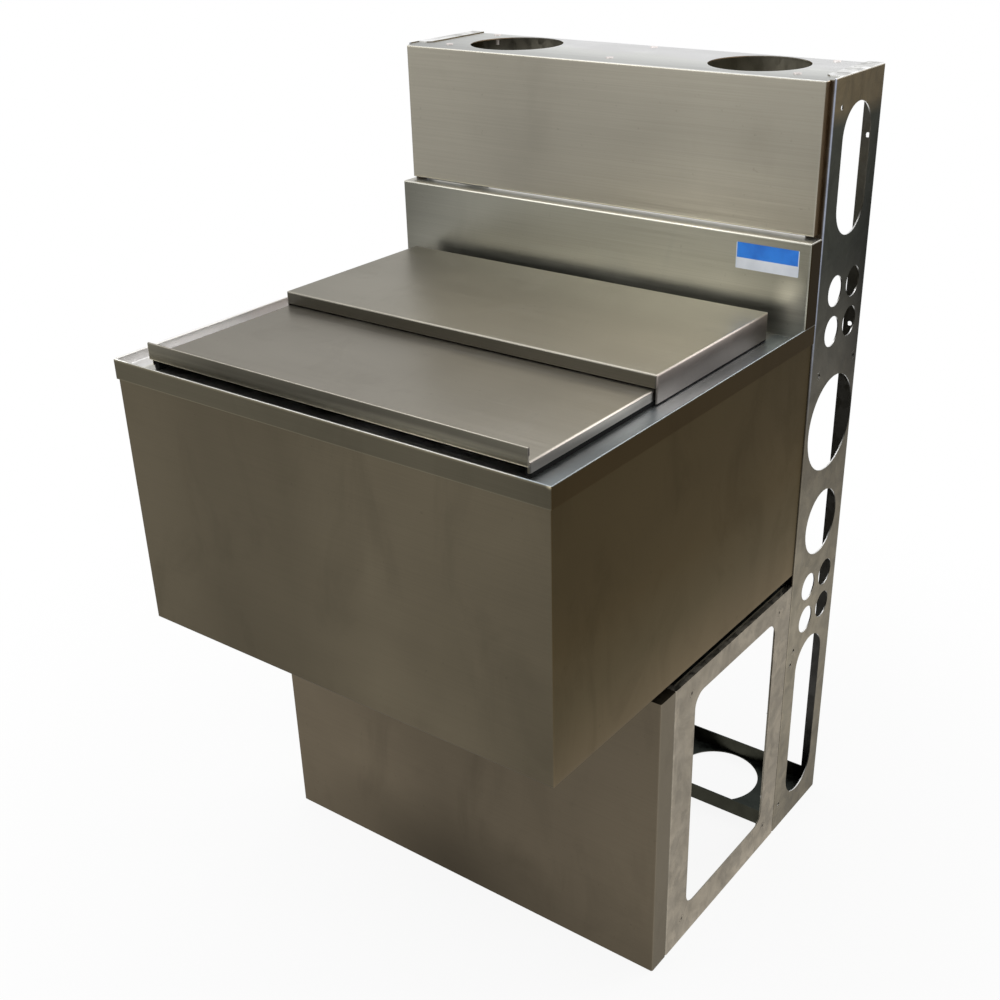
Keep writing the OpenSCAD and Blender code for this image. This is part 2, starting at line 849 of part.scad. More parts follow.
// Right side plate: a channel with inner flanges and a row of pipe holes
module side_plate() {
  inner_x = half_w - plate_flange;
  flange_y = y_wall + top_lip_y;
  chamfer = 6;
  color(zinc)
    difference() {
      union() {
        along_z(0, wall_h)
          folded(
            [[inner_x, y_wall], [half_w, y_wall], [half_w, y_back], [inner_x, y_back]], tg, bend_r
          );
        block([inner_x, y_wall + tg, 0], [half_w - tg, y_back - tg, tg]);
        along_z(z_cap, wall_h)
          polygon([
            [half_w - tg, flange_y], [half_w - tg, y_back - tg], [inner_x, y_back - tg],
            [inner_x, flange_y + chamfer], [inner_x + chamfer, flange_y]
          ]);
      }
      block([inner_x - over, y_wall - over, z_cap - t], [half_w - tg, y_wall + 2 * tg, wall_h + over]);
      along_y(y_wall - over, y_back + over)
        polygon(concat(
          arc([half_w - bend_out, wall_h - bend_out], bend_out, 0, 90),
          [[half_w - bend_out, wall_h + over], [half_w + over, wall_h + over], [half_w + over, wall_h - bend_out]]
        ));
      side_slot(wall_h - slot_top_drop - slot_top_l, wall_h - slot_top_drop);
      side_slot(slot_low_z, slot_low_z + slot_low_l);
      rod_x(half_w - 2 * tg, half_w + over, y_wall + hole_y, big_z, big_d / 2);
      rod_x(half_w - 2 * tg, half_w + over, y_wall + hole_y, medium_z, medium_d / 2);
      small_group(small_high_z);
      small_group(small_low_z);
      rod_x(half_w - 2 * tg, half_w + over, y_wall + pin_y, wall_h - pin_drop, pin_hole_d / 2);
      for (drop = back_pin_drops)
        rod_y(y_back - 2 * tg, y_back + over, bolt_x, wall_h - drop, pin_hole_d / 2);
      for (p = insert_places)
        rod_x(half_w - 2 * tg, half_w + over, y_wall + p[0], p[1], flush_r + bolt_clear);
      for (z = concat(bin_bolt_z, base_bolt_z))
        rod_y(y_wall - over, y_wall + 2 * tg, bolt_x, z, bolt_d / 2 + bolt_clear);
    }
}

module wall_side_plate_right() {
  side_plate();
}

module wall_side_plate_left() {
  mirror([1, 0, 0])
    side_plate();
}

// Bottom plate of the wall: a tray open upwards, with two round duct holes
module wall_bottom_plate() {
  x1 = inside_x;
  y0 = y_wall + tg;
  y1 = y_back - tg;
  color(zinc)
    difference() {
      block([-x1, y0, tg], [x1, y1, bottom_h]);
      block([-x1 + tg, y0 + tg, 2 * tg], [x1 - tg, y1 - tg, bottom_h + over]);
      both_sides()
        rod_z(0, bottom_h, duct_pitch / 2, y_wall + duct_y, duct_d / 2);
    }
}

// Cross rail behind the upper panel, with tabs for the top's front screws
module wall_rail_front() {
  x1 = inside_x;
  y0 = y_wall + tg;
  z1 = z_cap - t;
  color(zinc_dark)
    difference() {
      union() {
        block([-x1, y0, z1 - top_rail_h], [x1, y0 + tg, z1]);
        for (x = top_screw_x)
          block([x - tab_w / 2, y0, z1 - tg], [x + tab_w / 2, y0 + tab_l, z1]);
      }
      for (x = top_screw_x)
        rod_z(z1 - 2 * tg, z1 + over, x, top_screw_front, screw_d / 2 + bolt_clear);
    }
}

// Cross rail behind the bin's top
module wall_rail_middle() {
  x1 = inside_x;
  y0 = y_wall + tg;
  color(zinc_dark)
    along_x(-x1, x1)
      folded(
        [
          [y0 + mid_rail_d, z_ledge], [y0, z_ledge], [y0, z_ledge - mid_rail_h],
          [y0 + mid_rail_d, z_ledge - mid_rail_h]
        ],
        tg, bend_r
      );
}

// Cross rail under the back of the top, with tabs for the rear screws
module wall_rail_rear() {
  x1 = half_w - plate_flange - tg;
  y1 = y_back - tg - t;
  z1 = z_cap - t;
  color(zinc_dark)
    difference() {
      union() {
        block([-x1, y1 - tg, z_cap - cap_flange], [x1, y1, z1]);
        for (x = top_screw_x)
          block([x - tab_w / 2, y1 - tab_l, z1 - tg], [x + tab_w / 2, y1, z1]);
      }
      for (x = top_screw_x)
        rod_z(z1 - 2 * tg, z1 + over, x, top_screw_back, screw_d / 2 + bolt_clear);
    }
}

// Screws of the top
module top_screws() {
  color(steel_dark)
    for (x = top_screw_x)
      for (y = [top_screw_front, top_screw_back]) {
        rod_z(z_cap, z_cap + head_h, x, y, screw_head_r);
        rod_z(z_cap - top_screw_l, z_cap + head_h, x, y, screw_d / 2);
      }
}

// Flush threaded inserts in the side plates, for the neighbouring modules
module side_inserts() {
  color(steel_dark)
    both_sides()
      for (p = insert_places)
        difference() {
          union() {
            rod_x(half_w - tg, half_w, y_wall + p[0], p[1], flush_r);
            rod_x(half_w - tg - insert_lip, half_w - tg, y_wall + p[0], p[1], flush_r + insert_lip);
            rod_x(half_w - tg - insert_l, half_w - tg, y_wall + p[0], p[1], flush_r - insert_lip);
          }
          rod_x(half_w - tg - insert_l - over, half_w + over, y_wall + p[0], p[1], screw_d / 2);
        }
}

// ---------- base ----------

// Front panel of the base, with side returns and lips at the back
module base_front_panel() {
  lip_x = half_w - plate_flange;
  color(steel)
    difference() {
      union() {
        along_z(0, z_base)
          folded(
            [
              [-lip_x, y_base_side], [-half_w, y_base_side], [-half_w, y_base],
              [half_w, y_base], [half_w, y_base_side], [lip_x, y_base_side]
            ],
            t, bend_r
          );
        for (z = [0, z_base - t])
          block([-half_w + t, y_base + t, z], [half_w - t, y_base + panel_d - t, z + t]);
      }
      for (z = base_bolt_z)
        both_sides()
          rod_y(y_base_side - 2 * t, y_base_side + over, bolt_x, z, screw_d / 2 + bolt_clear);
    }
}

// Right side plate of the base: a framed panel with a large access opening
module base_side() {
  inner_x = half_w - plate_flange;
  lip_x = half_w - base_flange;
  o0 = [y_base_side + open_front, open_low];
  o1 = [y_wall - open_back, z_base - open_drop];
  x0 = half_w - 2 * tg;
  x1 = half_w + over;
  color(zinc)
    difference() {
      union() {
        along_z(0, z_base)
          folded(
            [
              [inner_x, y_base_side], [half_w, y_base_side], [half_w, y_wall],
              [inner_x, y_wall]
            ],
            tg, bend_r
          );
        for (z = [0, z_base - tg])
          block([lip_x, y_base_side + tg, z], [half_w - tg, y_wall - tg, z + tg]);
      }
      block([x0, o0[0] + open_r, o0[1]], [x1, o1[0] - open_r, o1[1]]);
      block([x0, o0[0], o0[1] + open_r], [x1, o1[0], o1[1] - open_r]);
      for (y = [o0[0] + open_r, o1[0] - open_r])
        for (z = [o0[1] + open_r, o1[1] - open_r])
          rod_x(x0, x1, y, z, open_r);
      for (p = base_screw_places)
        rod_x(x0, x1, p[0], p[1], flush_r + bolt_clear);
      for (y = bracket_y)
        rod_z(-over, 2 * tg, anchor_x, y, anchor_d / 2);
      for (z = base_bolt_z) {
        rod_y(y_base_side - over, y_base_side + 2 * tg, bolt_x, z, screw_d / 2 + bolt_clear);
        rod_y(y_wall - 2 * tg, y_wall + over, bolt_x, z, bolt_d / 2 + bolt_clear);
      }
    }
}

// Corner screws of the base's side plates: front and back, upper and lower
bracket_y = [y_base_side + screw_front, y_wall - screw_back];
anchor_x = half_w - anchor_in;
base_screw_places = [for (y = bracket_y) for (z = [z_base - screw_top, screw_low_z]) [y, z]];

module base_side_plate_right() {
  base_side();
}

module base_side_plate_left() {
  mirror([1, 0, 0])
    base_side();
}

// A cross rail of the base between the planes y0 and y1, open downwards
module base_rail(y0, y1) {
  x1 = half_w - tg;
  z1 = z_base - tg;
  color(zinc_dark)
    difference() {
      block([-x1, y0, z1 - rail_h], [x1, y1, z1]);
      block([-x1 + tg, y0 + tg, z1 - rail_h - over], [x1 - tg, y1 - tg, z1 - tg]);
      both_sides()
        for (p = base_screw_places)
          rod_x(x1 - 2 * tg, x1 + over, p[0], p[1], screw_d / 2 + bolt_clear);
    }
}

module base_rail_front() {
  base_rail(bracket_y[0] - rail_d / 2, bracket_y[0] + rail_d / 2);
}

module base_rail_rear() {
  base_rail(bracket_y[1] - rail_d / 2, bracket_y[1] + rail_d / 2);
}

// Flush screws at the corners of the base's side plates
module base_side_screws() {
  color(steel_dark)
    both_sides()
      for (p = base_screw_places) {
        rod_x(half_w - tg, half_w, p[0], p[1], flush_r);
        rod_x(half_w - tg - screw_l, half_w, p[0], p[1], screw_d / 2);
      }
}

// Screws that hold the front panel's lips on the side plates, driven from inside
module base_panel_screws() {
  color(steel_dark)
    both_sides()
      for (z = base_bolt_z) {
        rod_y(y_base_side + tg, y_base_side + tg + screw_head_t, bolt_x, z, screw_head_r);
        rod_y(y_base_side - screw_l, y_base_side + tg + screw_head_t, bolt_x, z, screw_d / 2);
      }
}

// Angle brackets inside the base's lower corners, drilled for floor anchors
module floor_brackets() {
  x1 = half_w - tg;
  color(zinc_dark)
    both_sides()
      for (y = bracket_y)
        difference() {
          union() {
            block([x1 - bracket_t, y - bracket_w / 2, tg], [x1, y + bracket_w / 2, tg + bracket_h]);
            block([x1 - bracket_foot, y - bracket_w / 2, tg], [x1, y + bracket_w / 2, tg + bracket_t]);
          }
          rod_z(0, tg + bracket_t + over, anchor_x, y, anchor_d / 2);
          rod_x(x1 - bracket_t - over, x1 + over, y, screw_low_z, screw_d / 2 + bolt_clear);
        }
}

// ---------- joints between bin, base and wall ----------

// Channel between the base's side plate and the bin's bottom flange, with its web on the inside
module bin_support() {
  x0 = half_w - base_flange;
  x1 = half_w - support_in;
  color(zinc_dark)
    along_y(y_base_side + support_end, y_wall - support_end)
      folded([[x1, z_bin], [x0, z_bin], [x0, z_base], [x1, z_base]], tg, bend_r);
}

module bin_support_right() {
  bin_support();
}

module bin_support_left() {
  mirror([1, 0, 0])
    bin_support();
}

// Bolts from inside the wall: heads on its front flange, shanks through to the nuts
module wall_bolts(heights, y_nut) {
  color(steel_dark)
    both_sides()
      for (z = heights) {
        hex_y(y_wall + tg, y_wall + tg + bolt_head_t, bolt_x, z, bolt_hex_r);
        rod_y(y_nut - bolt_nut_t - bolt_stick_out, y_wall + tg + eps, bolt_x, z, bolt_d / 2);
      }
}

// Nuts on the inner side of the bin's or the base's back flange
module wall_nuts(heights, y_nut) {
  color(zinc_dark)
    both_sides()
      for (z = heights)
        difference() {
          hex_y(y_nut - bolt_nut_t, y_nut, bolt_x, z, bolt_hex_r);
          rod_y(y_nut - bolt_nut_t - over, y_nut + over, bolt_x, z, bolt_d / 2);
        }
}

module bin_wall_bolts() {
  wall_bolts(bin_bolt_z, y_wall - t);
}

module bin_wall_nuts() {
  wall_nuts(bin_bolt_z, y_wall - t);
}

module base_wall_bolts() {
  wall_bolts(base_bolt_z, y_wall - tg);
}

module base_wall_nuts() {
  wall_nuts(base_bolt_z, y_wall - tg);
}

bin_shell();
bin_bottom_pan();
bin_back_panel();
insulation_boards();
ice_liner();
rim_frame();
backsplash();
blank_tag();
drain_cup();
drain_gasket();
drain_locknut();
drain_tailpiece();
drain_strainer();
front_cover();
front_cover_glides();
rear_cover();
rear_cover_glides();
upper_panel();
wall_side_plate_right();
wall_side_plate_left();
wall_bottom_plate();
wall_rail_front();
wall_rail_middle();
wall_rail_rear();
top_screws();
side_inserts();
base_front_panel();
base_side_plate_right();
base_side_plate_left();
base_rail_front();
base_rail_rear();
base_side_screws();
base_panel_screws();
floor_brackets();
bin_support_right();
bin_support_left();
bin_wall_bolts();
bin_wall_nuts();
base_wall_bolts();
base_wall_nuts();
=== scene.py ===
"""Looks of the underbar ice bin: brushed stainless sheet, galvanised wall, plated fasteners, studio."""

import math

import bmesh
import bpy
from mathutils import Matrix, Vector


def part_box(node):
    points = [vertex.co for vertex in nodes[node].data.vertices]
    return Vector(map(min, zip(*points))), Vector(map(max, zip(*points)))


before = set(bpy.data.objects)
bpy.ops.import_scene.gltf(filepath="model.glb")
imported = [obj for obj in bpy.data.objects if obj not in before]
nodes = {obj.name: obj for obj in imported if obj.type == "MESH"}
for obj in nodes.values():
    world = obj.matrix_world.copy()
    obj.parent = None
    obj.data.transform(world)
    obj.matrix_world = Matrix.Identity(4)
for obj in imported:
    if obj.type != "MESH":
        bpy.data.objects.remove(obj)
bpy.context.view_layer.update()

# ---------- camera ----------

# Camera in the object's frame: place in metres, angles in radians
CAMERA_PLACE = Vector((0.9396, -1.2316, 1.2798))
CAMERA_AZIMUTH = 0.64111
CAMERA_ELEVATION = 0.48160
CAMERA_ROLL = -0.02039
# Lens in pixels of a square image: focal length and the point straight ahead
IMAGE_SIZE = 1000
FOCAL_PIXELS = 1349.88
CENTRE_PIXEL = (524.03, 541.48)
# Width of the sensor in millimetres, and how far the camera sees in metres
SENSOR = 36.0
VIEW_DEPTH = 50


def make_camera():
    """Camera that looks at the object from its front right, from above."""
    az, el = CAMERA_AZIMUTH, CAMERA_ELEVATION
    back = Vector((math.sin(az) * math.cos(el), -math.cos(az) * math.cos(el), math.sin(el)))
    right = Vector((math.cos(az), math.sin(az), 0))
    up = back.cross(right)
    c, s = math.cos(CAMERA_ROLL), math.sin(CAMERA_ROLL)
    axes = (c * right + s * up, c * up - s * right, back)
    data = bpy.data.cameras.new("camera")
    data.sensor_width = SENSOR
    data.lens = FOCAL_PIXELS * SENSOR / IMAGE_SIZE
    data.shift_x = 0.5 - CENTRE_PIXEL[0] / IMAGE_SIZE
    data.shift_y = CENTRE_PIXEL[1] / IMAGE_SIZE - 0.5
    data.clip_end = VIEW_DEPTH
    camera = bpy.data.objects.new("camera", data)
    camera.matrix_world = Matrix.Translation(CAMERA_PLACE) @ Matrix(axes).transposed().to_4x4()
    bpy.context.scene.collection.objects.link(camera)
    bpy.context.scene.camera = camera


# ---------- node helpers ----------

# Most values of a noise lie between these
NOISE_LOW, NOISE_HIGH = 0.3, 0.7
# Share of a normal along an axis where a face begins to lie across it, and where it fully does
FACING_FROM, FACING_TO = 0.45, 0.85
# How well a softened normal agrees with the real one on flat faces and on sharp edges
EDGE_FLAT, EDGE_SHARP = 0.995, 0.9


class Nodes:
    """Short calls for building a node tree."""

    def __init__(self, tree):
        self.tree = tree
        tree.nodes.clear()

    def add(self, kind, **values):
        node = self.tree.nodes.new(kind)
        for key, value in values.items():
            setattr(node, key, value)
        return node

    def feed(self, value, socket):
        """Gives a socket a link or a plain value."""
        if isinstance(value, bpy.types.NodeSocket):
            self.tree.links.new(value, socket)
        else:
            socket.default_value = value

    def math(self, op, a, b=0.0):
        node = self.add("ShaderNodeMath", operation=op)
        self.feed(a, node.inputs[0])
        self.feed(b, node.inputs[1])
        return node.outputs[0]

    def times(self, a, b):
        return self.math("MULTIPLY", a, b)

    def sum(self, *values):
        total = values[0]
        for value in values[1:]:
            total = self.math("ADD", total, value)
        return total

    def mix(self, factor, a, b, blend="MIX"):
        """Mixes two colours."""
        node = self.add("ShaderNodeMix", data_type="RGBA", blend_type=blend)
        self.feed(factor, node.inputs[0])
        self.feed(a, node.inputs[6])
        self.feed(b, node.inputs[7])
        return node.outputs[2]

    def tint(self, color, level):
        """Multiplies a colour by a grey level."""
        grey = self.add("ShaderNodeCombineColor")
        for socket in grey.inputs:
            self.feed(level, socket)
        return self.mix(1.0, color, grey.outputs[0], "MULTIPLY")

    def span(self, value, a0, a1, b0=0.0, b1=1.0):
        """Maps a0..a1 to b0..b1, with soft ends."""
        node = self.add("ShaderNodeMapRange", interpolation_type="SMOOTHSTEP")
        for socket, v in zip(node.inputs[:5], (value, a0, a1, b0, b1)):
            self.feed(v, socket)
        return node.outputs["Result"]

    def vary(self, noise, low, high):
        """Spreads the usual values of a noise over low..high."""
        return self.span(noise, NOISE_LOW, NOISE_HIGH, low, high)

    def ramp(self, value, stops):
        """Colour along a value; stops are (value, colour), from low to high."""
        low, high = stops[0][0], stops[-1][0]
        node = self.add("ShaderNodeValToRGB")
        ramp = node.color_ramp
        while len(ramp.elements) < len(stops):
            ramp.elements.new(1.0)
        for element, (at, color) in zip(ramp.elements, stops):
            element.position = (at - low) / (high - low)
            element.color = full(color)
        line = self.add("ShaderNodeMapRange")
        for socket, v in zip(line.inputs[:5], (value, low, high, 0.0, 1.0)):
            self.feed(v, socket)
        self.feed(line.outputs["Result"], node.inputs["Fac"])
        return node.outputs["Color"]

    def place(self):
        """Object coordinates, in metres in the object's frame."""
        return self.add("ShaderNodeTexCoord").outputs["Object"]

    def xyz(self, vector):
        node = self.add("ShaderNodeSeparateXYZ")
        self.feed(vector, node.inputs[0])
        return node.outputs

    def facing(self):
        """How much a face lies across X, Y and Z: 1 across, 0 along."""
        parts = self.xyz(self.add("ShaderNodeNewGeometry").outputs["Normal"])
        return [self.span(self.math("ABSOLUTE", part), FACING_FROM, FACING_TO) for part in parts]

    def scaled(self, vector, scale):
        node = self.add("ShaderNodeMapping")
        self.feed(vector, node.inputs["Vector"])
        node.inputs["Scale"].default_value = scale
        return node.outputs["Vector"]

    def noise(self, vector, scale, detail, rough, distortion=0.0):
        node = self.add("ShaderNodeTexNoise")
        self.feed(vector, node.inputs["Vector"])
        node.inputs["Scale"].default_value = scale
        node.inputs["Detail"].default_value = detail
        node.inputs["Roughness"].default_value = rough
        node.inputs["Distortion"].default_value = distortion
        return node.outputs["Fac"]

    def patch(self, place, centre, size):
        """1 at the centre, fading softly to 0 at an ellipsoid of the given half sizes."""
        shift = self.add("ShaderNodeVectorMath", operation="SUBTRACT")
        self.feed(place, shift.inputs[0])
        shift.inputs[1].default_value = centre
        part = self.add("ShaderNodeVectorMath", operation="DIVIDE")
        self.feed(shift.outputs[0], part.inputs[0])
        part.inputs[1].default_value = size
        length = self.add("ShaderNodeVectorMath", operation="LENGTH")
        self.feed(part.outputs[0], length.inputs[0])
        return self.span(length.outputs["Value"], 0.0, 1.0, 1.0, 0.0)

    def bump(self, height, strength, distance, normal=None):
        node = self.add("ShaderNodeBump")
        node.inputs["Strength"].default_value = strength
        node.inputs["Distance"].default_value = distance
        self.feed(height, node.inputs["Height"])
        if normal is not None:
            self.feed(normal, node.inputs["Normal"])
        return node.outputs["Normal"]

    def edge(self, radius):
        """1 on sharp edges and bends, 0 on flat faces."""
        soft = self.add("ShaderNodeBevel", samples=6)
        soft.inputs["Radius"].default_value = radius
        dot = self.add("ShaderNodeVectorMath", operation="DOT_PRODUCT")
        self.feed(soft.outputs[0], dot.inputs[0])
        self.feed(self.add("ShaderNodeNewGeometry").outputs["Normal"], dot.inputs[1])
        return self.span(dot.outputs["Value"], EDGE_FLAT, EDGE_SHARP)

    def seen(self):
        """1 for what the camera, gloss and glass show, 0 for light that falls on the object."""
        path = self.add("ShaderNodeLightPath")
        seen = self.math("MAXIMUM", path.outputs["Is Camera Ray"], path.outputs["Is Glossy Ray"])
        return self.math("MAXIMUM", seen, path.outputs["Is Transmission Ray"])

    def plain(self, kind, color, **values):
        """Shader of one colour; other sockets take plain values."""
        node = self.add(kind)
        node.inputs["Color"].default_value = color
        for name, value in values.items():
            node.inputs[name].default_value = value
        return node.outputs[0]

    def finish(self, **inputs):
        """Closes the tree with a Principled shader; its sockets take values or links."""
        shader = self.add("ShaderNodeBsdfPrincipled")
        for name, value in inputs.items():
            self.feed(value, shader.inputs[name.replace("_", " ")])
        out = self.add("ShaderNodeOutputMaterial")
        self.feed(shader.outputs[0], out.inputs["Surface"])

    def finish_mix(self, output, factor, a, b):
        """Closes the tree with a mix of two shaders."""
        mix = self.add("ShaderNodeMixShader")
        for socket, value in zip(mix.inputs, (factor, a, b)):
            self.feed(value, socket)
        self.feed(mix.outputs[0], self.add(output).inputs["Surface"])


def new_material(name):
    material = bpy.data.materials.new(name)
    material.use_nodes = True
    return material, Nodes(material.node_tree)


def full(color):
    return (*color, 1)


def scaled_color(color, k):
    return tuple(part * k for part in color)


def as_color(k):
    return k if isinstance(k, tuple) else (k, k, k)


# ---------- tones: painted light and shade ---

# Largest factor along an axis: a ramp holds colours up to 1, so factors are divided by this
RAMP_TOP = 6.0
# Half size of a patch along an axis where it fades little, and where it doesn't fade
WIDE = 1.0
ENDLESS = 10.0


class Tone:
    """Colour of the faces across one axis, with painted light and shade as soft factors along x, y and z.

    Each factor is a list of (place in metres, factor or tint), from low to high; a patch is
    (centre, half sizes, change) and paints a soft highlight or shade on a spot, or gives it a colour.
    """

    def __init__(self, color, x=(), y=(), z=(), patches=()):
        self.color = color
        self.factors = (x, y, z)
        self.patches = patches

    def build(self, n, place):
        color = full(self.color)
        for part, factor in zip(n.xyz(place), self.factors):
            if factor:
                stops = [(at, scaled_color(as_color(k), 1 / RAMP_TOP)) for at, k in factor]
                color = n.tint(n.mix(1.0, color, n.ramp(part, stops), "MULTIPLY"), RAMP_TOP)
        for centre, size, change in self.patches:
            spot = n.patch(place, centre, size)
            if isinstance(change, tuple):
                color = n.mix(spot, color, full(change))
            else:
                color = n.tint(color, n.sum(1.0, n.times(spot, change)))
        return color


def stops_from(start, *steps):
    """Stops of a factor, each given by its distance from a start."""
    return [(start + step, k) for step, k in steps]


def by_facing(n, place, top, front, side):
    """Joins the tones of the faces across Z, Y and X: lit and shaded copies of one sheet, as painted light
    and shade.
    """
    across_x, _, across_z = n.facing()
    color = n.mix(across_x, front.build(n, place), side.build(n, place))
    return n.mix(across_z, color, top.build(n, place))


# ---------- kinds of material ----------

# Stretch of the brush lines: long along the grain, short across it
GRAIN_FINE = 900.0
GRAIN_LONG = 6.0
# Share of the white that metal seen at a low angle still mirrors
EDGE_SHEEN = (0.53, 0.53, 0.53, 1)


def grain(n, place, axis):
    scale = [GRAIN_FINE] * 3
    scale[axis] = GRAIN_LONG
    return n.noise(n.scaled(place, scale), scale=1.0, detail=3.0, rough=0.6)


def brushed(name, top, front, side, axis=0, rough=0.34, edge_wear_and_highlight=0.1, cloud=0.05):
    """Brushed stainless sheet: fine grain along one axis, clouds, smudges and specks, over painted light
    and shade per face; edges and bends are lightened, partly as wear and partly as a painted highlight.
    """
    streak_depth, speck_depth, edge_radius = 0.05, 0.12, 0.0016
    streak_rough, smudge_rough = 0.05, 0.06
    material, n = new_material(name)
    place = n.place()
    streak = grain(n, place, axis)
    clouds = n.noise(place, scale=3.2, detail=3.0, rough=0.55, distortion=0.4)
    smears = n.noise(n.scaled(place, (1, 1, 0.45)), scale=11.0, detail=5.0, rough=0.6, distortion=0.8)
    smudge = n.span(smears, 0.5, 0.72)
    speck = n.span(n.noise(place, scale=160.0, detail=2.0, rough=0.5), 0.70, 0.78)
    level = n.sum(
        n.vary(streak, 1.0 - streak_depth, 1.0 + streak_depth),
        n.vary(clouds, -cloud, cloud),
        n.times(smudge, -cloud),
        n.times(speck, -speck_depth),
        # edges and bends lighter: wear and painted highlight
        n.times(n.edge(edge_radius), edge_wear_and_highlight),
    )
    roughness = n.sum(
        n.span(streak, 0.25, 0.75, rough - streak_rough, rough + streak_rough),
        n.times(smudge, smudge_rough),
    )
    swell = n.noise(place, scale=5.0, detail=1.0, rough=0.4)
    waves = n.bump(swell, strength=0.25, distance=0.004)
    n.finish(
        Base_Color=n.tint(by_facing(n, place, top, front, side), level),
        Metallic=1.0,
        Roughness=roughness,
        Specular_Tint=EDGE_SHEEN,
        Normal=n.bump(streak, strength=0.12, distance=0.0002, normal=waves),
    )
    return material


def zinc_level(n, place, mottle):
    """Crystals, blotches and scuffs of a zinc coat, as a grey level; also gives crystals and scuffs."""
    crystals_per_metre, crystal_depth = 85.0, 0.6 * mottle
    edge_radius, edge_wear = 0.0012, 0.2
    cells = n.add("ShaderNodeTexVoronoi")
    cells.inputs["Scale"].default_value = crystals_per_metre
    n.feed(n.scaled(place, (1, 1, 0.8)), cells.inputs["Vector"])
    crystal = n.xyz(cells.outputs["Color"])[0]
    blotch = n.noise(place, scale=22.0, detail=5.0, rough=0.65, distortion=1.0)
    scratches = n.noise(n.scaled(place, (30, 30, 4)), scale=3.0, detail=6.0, rough=0.7, distortion=1.5)
    scuff = n.span(scratches, 0.56, 0.66)
    level = n.sum(
        n.span(crystal, 0.0, 1.0, 1.0 - crystal_depth, 1.0 + crystal_depth),
        n.vary(blotch, -mottle, mottle),
        n.times(scuff, mottle),
        n.times(n.edge(edge_radius), edge_wear),
    )
    return level, crystal, scuff


def galvanised(name, top, front, side, mottle=0.14, strip=None):
    """Hot-dip galvanised sheet, with painted light and shade per face; the last argument is a mask and the
    tone that it mixes in, for a painted highlight.
    """
    rough, crystal_rough, scuff_rough = 0.42, 0.09, 0.08
    material, n = new_material(name)
    place = n.place()
    level, crystal, scuff = zinc_level(n, place, mottle)
    color = by_facing(n, place, top, front, side)
    if strip:
        mask, tone = strip
        color = n.mix(mask(n, place), color, full(tone))
    roughness = n.sum(
        n.span(crystal, 0.0, 1.0, rough - crystal_rough, rough + crystal_rough),
        n.times(scuff, scuff_rough),
    )
    n.finish(
        Base_Color=n.tint(color, level),
        Metallic=1.0,
        Roughness=roughness,
        Specular_Tint=EDGE_SHEEN,
        Normal=n.bump(crystal, strength=0.15, distance=0.0003),
    )
    return material


def plain_metal(name, tone, rough):
    """Small turned or plated metal parts, with light soiling."""
    edge_radius, edge_wear = 0.0006, 0.3
    material, n = new_material(name)
    dirt = n.noise(n.place(), scale=60.0, detail=4.0, rough=0.6)
    level = n.sum(n.vary(dirt, 0.82, 1.08), n.times(n.edge(edge_radius), edge_wear))
    n.finish(
        Base_Color=n.tint(full(tone), level),
        Metallic=1.0,
        Roughness=n.vary(dirt, rough - 0.06, rough + 0.08),
        Normal=n.bump(dirt, strength=0.1, distance=0.0002),
    )
    return material


def matt(name, tone, rough, scale, depth, shine=0.5):
    """Rubber, plastic and foam: fine grain in colour and relief."""
    dark, light = full(scaled_color(tone, 0.8)), full(scaled_color(tone, 1.15))
    material, n = new_material(name)
    fleck = n.noise(n.place(), scale=scale, detail=4.0, rough=0.6)
    n.finish(
        Base_Color=n.mix(n.vary(fleck, 0.0, 1.0), dark, light),
        Roughness=rough,
        Specular_IOR_Level=shine,
        Normal=n.bump(fleck, strength=0.3, distance=depth),
    )
    return material


def tag_material():
    """Blank two-tone tag: blue above, white below, with a thin pale margin."""
    blue_low, blue_high = (0.012, 0.15, 0.62), (0.02, 0.22, 0.78)
    white_low, white_high = (0.62, 0.66, 0.72), (0.72, 0.76, 0.82)
    margin_tone = (0.6, 0.66, 0.74)
    margin_w, edge_w, white_share = 0.0013, 0.0004, 0.42
    material, n = new_material("tag_print")
    low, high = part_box("blank_tag")
    place = n.place()
    x, _, z = n.xyz(place)
    split = low.z + (high.z - low.z) * white_share
    half = (high.x - low.x) / 2
    fade = n.noise(place, scale=40.0, detail=3.0, rough=0.5)
    faded = n.vary(fade, 0.0, 1.0)
    blue = n.mix(faded, full(blue_low), full(blue_high))
    white = n.mix(faded, full(white_low), full(white_high))
    side = n.math("ABSOLUTE", n.math("SUBTRACT", x, low.x + half))
    margin = n.span(side, half - margin_w, half - margin_w + edge_w)
    band = n.span(z, split - edge_w / 2, split + edge_w / 2)
    n.finish(
        Base_Color=n.mix(margin, n.mix(band, white, blue), full(margin_tone)),
        Roughness=0.32,
        Normal=n.bump(fade, strength=0.1, distance=0.0002),
    )
    return material


# ---------- materials of the covers ----------


